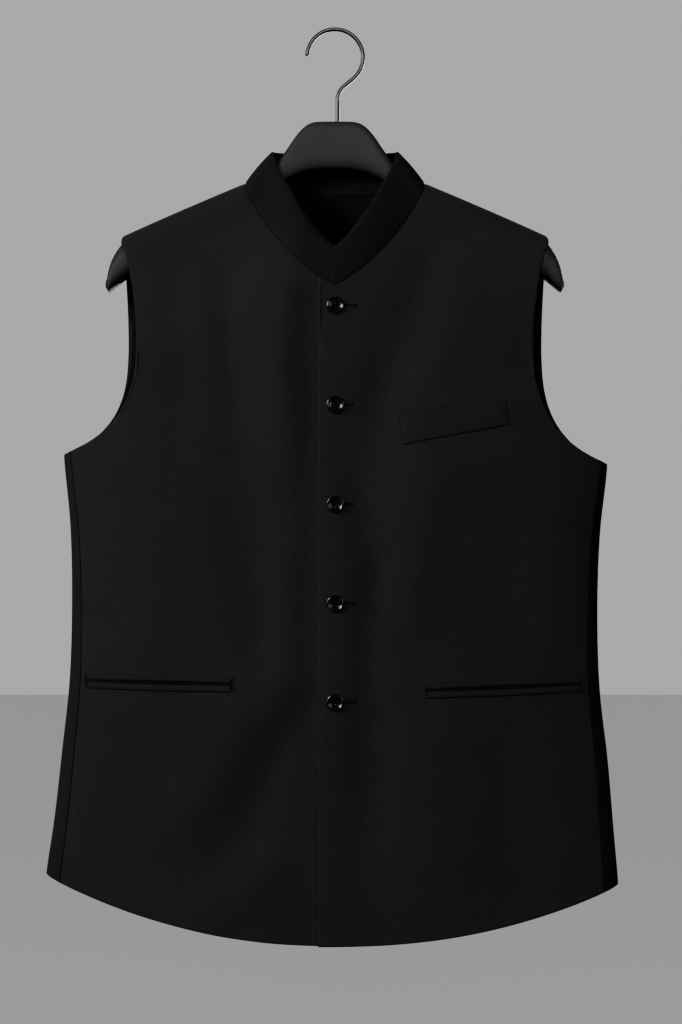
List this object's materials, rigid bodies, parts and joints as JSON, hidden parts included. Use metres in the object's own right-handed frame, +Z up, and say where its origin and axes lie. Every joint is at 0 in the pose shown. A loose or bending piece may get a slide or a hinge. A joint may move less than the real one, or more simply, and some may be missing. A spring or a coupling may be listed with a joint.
{
  "type": "sleeveless nehru jacket on a hanger",
  "caption": "Sleeveless stand-collar jacket, buttoned down the front, with a slanted breast welt and jetted hip pockets, hanging on a contoured hanger.",
  "frame": {"origin": "inner top of the hanger's hook, where it bears on a rail", "axes": "+Z up along the hanging jacket, +X to the wearer's left, -Y out of the front"},
  "size_m": [0.5594, 0.0886, 0.8919],
  "materials": {
    "wool": "fine black worsted wool, matt with a faint sheen",
    "button": "polished black",
    "hanger": "dark slate grey, matt",
    "hook": "black lacquered wire"
  },
  "bodies": {
    "root": {"front_left": "wool", "front_right": "wool", "back_left": "wool", "back_right": "wool", "collar": "wool", "breast_welt": "wool", "jet_left_upper": "wool", "jet_left_lower": "wool", "jet_right_upper": "wool", "jet_right_lower": "wool", "button_1": "button", "button_2": "button", "button_3": "button", "button_4": "button", "button_5": "button", "hanger": "hanger", "hook": "hook"}
  },
  "joints": []
}
